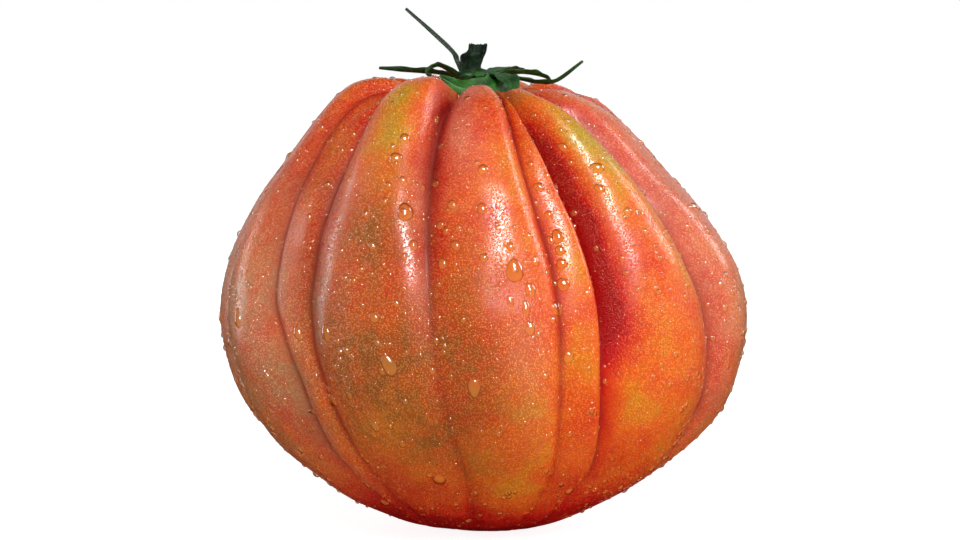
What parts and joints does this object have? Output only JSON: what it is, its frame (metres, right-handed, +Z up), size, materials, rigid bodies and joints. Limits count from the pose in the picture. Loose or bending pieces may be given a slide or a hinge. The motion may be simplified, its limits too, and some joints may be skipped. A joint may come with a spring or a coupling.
{
  "type": "tomato",
  "caption": "Whole ribbed oxheart tomato with a green calyx and a short stump of stem, resting on its base.",
  "frame": {"origin": "middle of the small flat spot on the base, where the fruit rests", "axes": "+Z up through the calyx, -Y towards the viewer's side, +X to the viewer's right"},
  "size_m": [0.0917, 0.0926, 0.0909],
  "materials": {
    "skin": "thin glossy orange-red skin with fine water droplets",
    "calyx": "finely hairy dark green leaf",
    "stem": "rough dark green stalk with a dry broken end"
  },
  "bodies": {
    "root": {"fruit": "skin", "calyx_disc": "calyx", "stem": "stem", "sepal_front": "calyx", "sepal_drop": "calyx", "sepal_sweep": "calyx", "sepal_right": "calyx", "sepal_back_right": "calyx", "sepal_back_left": "calyx", "sepal_tall": "calyx", "sepal_left": "calyx", "sepal_curl": "calyx"}
  },
  "joints": []
}
